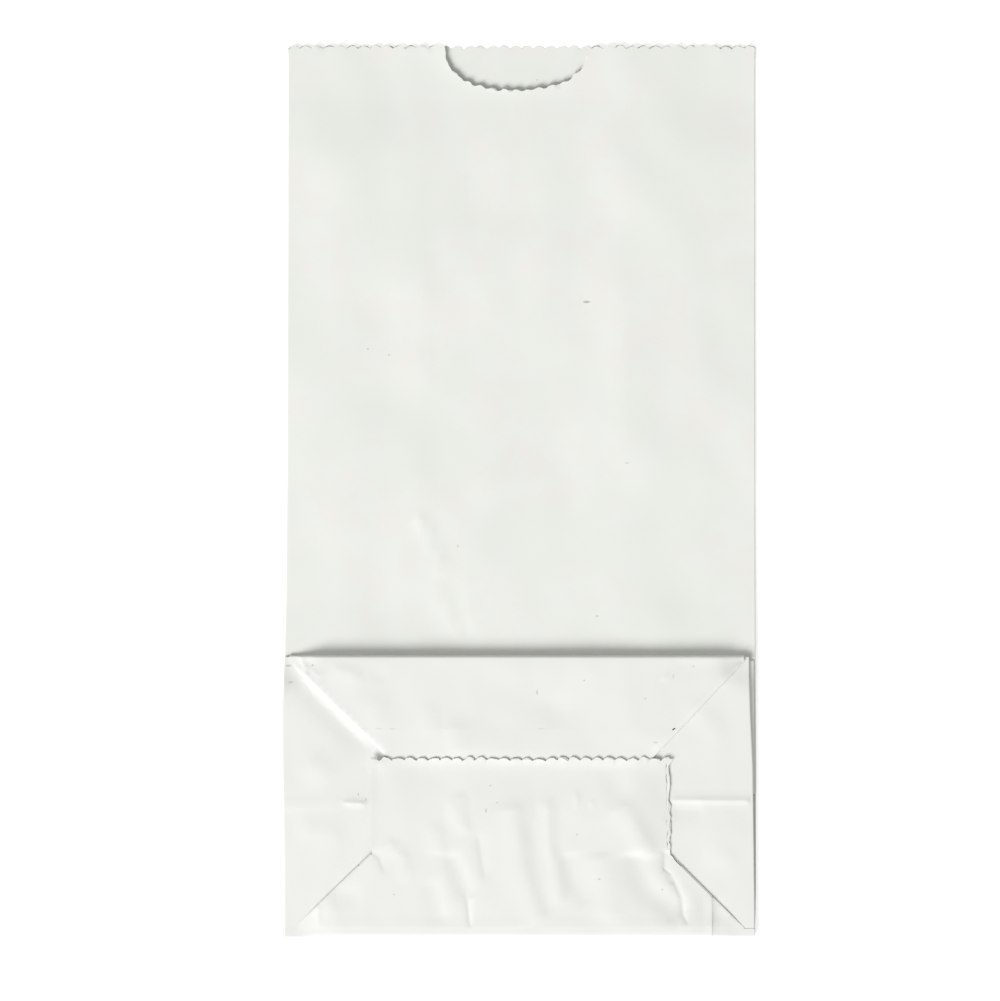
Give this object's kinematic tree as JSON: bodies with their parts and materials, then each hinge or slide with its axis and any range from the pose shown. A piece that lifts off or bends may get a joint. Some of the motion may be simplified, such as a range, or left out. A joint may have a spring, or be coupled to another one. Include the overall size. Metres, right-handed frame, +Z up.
{
  "type": "popcorn bag",
  "caption": "White kraft paper popcorn bag folded flat: gusseted sides, block bottom laid over the front, pinked mouth with a thumb notch.",
  "frame": {"origin": "on the surface that the bag lies on, under the middle of its outline", "axes": "+Y from the bottom fold to the mouth, +Z up out of the front, +X to the right seen from above"},
  "size_m": [0.127, 0.243, 0.0052],
  "materials": {
    "white_kraft_paper": "matte, uncoated"
  },
  "bodies": {
    "root": {"paper_bag": "white_kraft_paper"}
  },
  "joints": []
}
